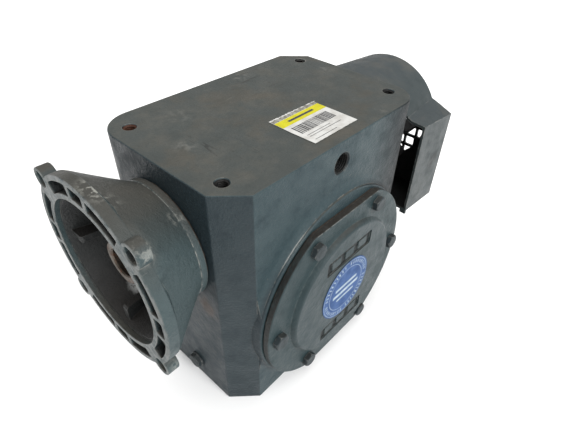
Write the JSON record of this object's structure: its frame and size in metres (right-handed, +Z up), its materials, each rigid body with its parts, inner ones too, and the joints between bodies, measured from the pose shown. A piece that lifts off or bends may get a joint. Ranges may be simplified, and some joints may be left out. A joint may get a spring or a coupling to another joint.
{
  "type": "worm gearbox",
  "caption": "Right-angle worm gear reducer: cast housing, motor flange with hollow input, closed side cover, shrouded cooling fan and output shaft on the far side.",
  "frame": {"origin": "centre of the base face, under the crossing of the worm and output axes", "axes": "+Z up from the base face; +X along the worm from the motor flange towards the fan; +Y along the output shaft towards its free end"},
  "size_m": [0.3521, 0.2615, 0.2398],
  "materials": {
    "cast_paint": "semi-gloss slate grey paint over cast iron, scuffed",
    "sheet_paint": "semi-gloss slate grey paint over sheet metal",
    "label_paper": "printed self-adhesive label",
    "label_blue": "printed round vinyl sticker",
    "gasket": "fibre gasket",
    "seal_rubber": "matt nitrile rubber",
    "dark_bolt": "painted-over black steel",
    "bronze": "machined bronze",
    "hub_iron": "bare casting",
    "fan_plastic": "moulded black",
    "machined_steel": "machined and ground"
  },
  "bodies": {
    "case": {"housing": "cast_paint", "c_face_adapter": "cast_paint", "adapter_gasket": "gasket", "adapter_screw_1": "dark_bolt", "adapter_screw_2": "dark_bolt", "adapter_screw_3": "dark_bolt", "adapter_screw_4": "dark_bolt", "input_oil_seal": "seal_rubber", "front_bearing_outer_race": "machined_steel", "rear_bearing_outer_race": "machined_steel", "fan_end_cap": "cast_paint", "fan_end_snap_ring": "machined_steel", "fan_end_oil_seal": "seal_rubber", "blind_bearing_cup": "machined_steel", "drive_bearing_cup": "machined_steel", "closed_cover": "cast_paint", "closed_cover_gasket": "gasket", "closed_cover_bolt_1": "dark_bolt", "closed_cover_bolt_2": "dark_bolt", "closed_cover_bolt_3": "dark_bolt", "closed_cover_bolt_4": "dark_bolt", "closed_cover_bolt_5": "dark_bolt", "closed_cover_bolt_6": "dark_bolt", "cover_sticker": "label_blue", "output_cover": "cast_paint", "output_cover_gasket": "gasket", "output_oil_seal": "seal_rubber", "output_cover_bolt_1": "dark_bolt", "output_cover_bolt_2": "dark_bolt", "output_cover_bolt_3": "dark_bolt", "output_cover_bolt_4": "dark_bolt", "output_cover_bolt_5": "dark_bolt", "output_cover_bolt_6": "dark_bolt", "fan_shroud": "sheet_paint", "shroud_screw_1": "dark_bolt", "shroud_screw_2": "dark_bolt", "shroud_screw_3": "dark_bolt", "shroud_screw_4": "dark_bolt", "drain_plug": "dark_bolt", "level_plug": "dark_bolt", "vent_plug": "dark_bolt", "top_label": "label_paper"},
    "worm": {"worm_shaft": "machined_steel", "front_bearing_inner_race": "machined_steel", "front_bearing_ball_set": "bronze", "rear_bearing_inner_race": "machined_steel", "rear_bearing_ball_set": "bronze", "front_snap_ring": "machined_steel", "cooling_fan": "fan_plastic", "fan_snap_ring": "machined_steel"},
    "output": {"output_shaft": "machined_steel", "worm_wheel_rim": "bronze", "worm_wheel_hub": "hub_iron", "worm_wheel_key": "machined_steel", "output_shaft_key": "machined_steel", "worm_wheel_spacer": "machined_steel", "blind_bearing_cone": "machined_steel", "blind_bearing_roller_set": "machined_steel", "drive_bearing_cone": "machined_steel", "drive_bearing_roller_set": "machined_steel"}
  },
  "joints": [
    {"name": "output_spin", "type": "hinge", "parent": "case", "child": "output", "pos_m": [0, 0, 0.09], "axis": [0, 1, 0], "continuous": true},
    {"name": "worm_spin", "type": "hinge", "parent": "case", "child": "worm", "pos_m": [0, 0, 0.1662], "axis": [1, 0, 0], "continuous": true}
  ],
  "couplings": [
    {"joint": "worm_spin", "follows": "output_spin", "ratio": -30}
  ]
}
